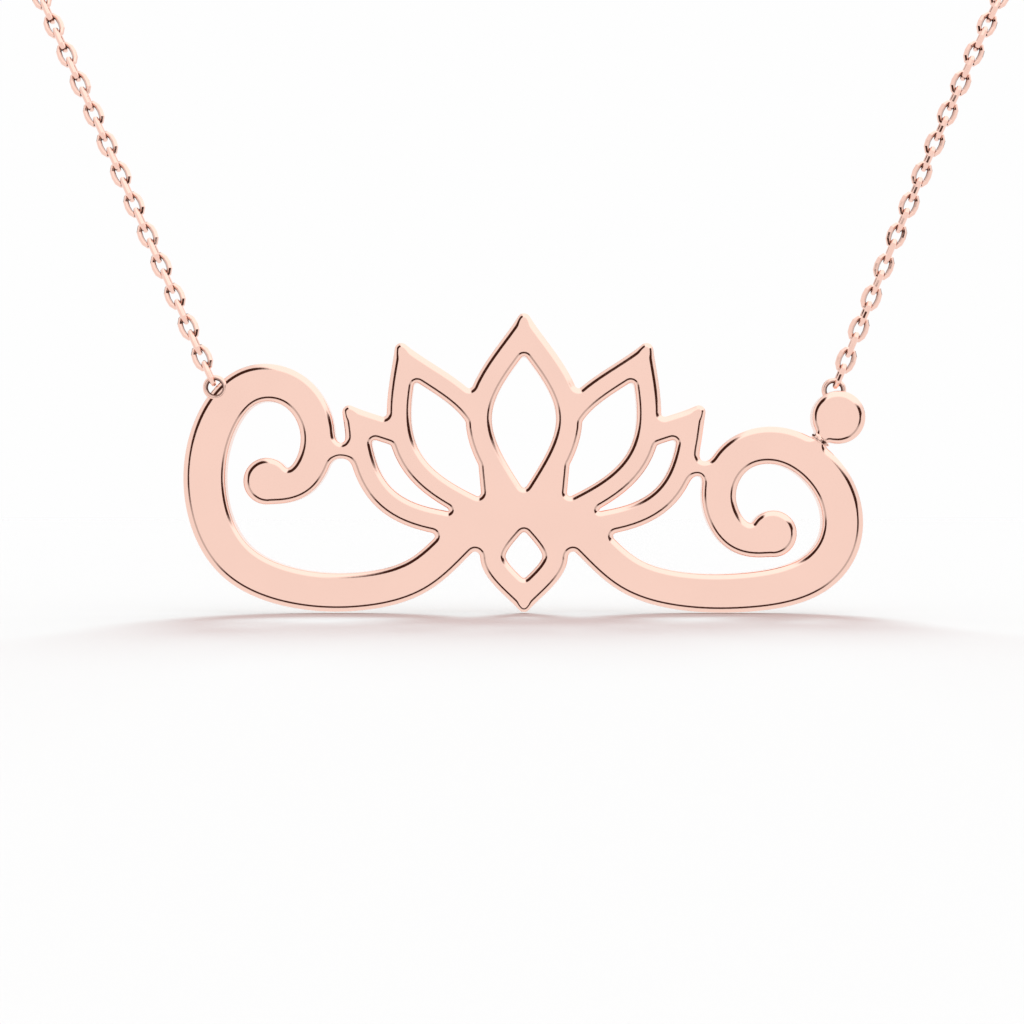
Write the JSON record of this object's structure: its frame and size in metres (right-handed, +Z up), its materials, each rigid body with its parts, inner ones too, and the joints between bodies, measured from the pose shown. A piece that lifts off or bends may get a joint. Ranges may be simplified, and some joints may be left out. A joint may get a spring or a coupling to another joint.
{
  "type": "nameplate necklace",
  "caption": "Fine rose-gold cable chain necklace with a flat openwork nameplate cut as a leafy scroll ornament and a ring clasp at the nape.",
  "frame": {"origin": "the point on the nape of the neck that the clasp lies on, at the middle of the clasp's ring, where the necklace is held up when it is worn", "axes": "+Z up along the neck; -Y forward, the way that the plate's face looks; +X to the right of someone who looks at the plate's face"},
  "size_m": [0.123, 0.11, 0.1125],
  "materials": {
    "plate_metal": "mirror-polished rose gold sheet with softly rounded, polished edges",
    "chain_metal": "bright polished rose gold wire",
    "clasp_metal": "bright polished rose gold wire"
  },
  "bodies": {
    "root": {"nameplate": "plate_metal", "chain_left": "chain_metal", "chain_right": "chain_metal", "clasp": "clasp_metal"}
  },
  "joints": []
}
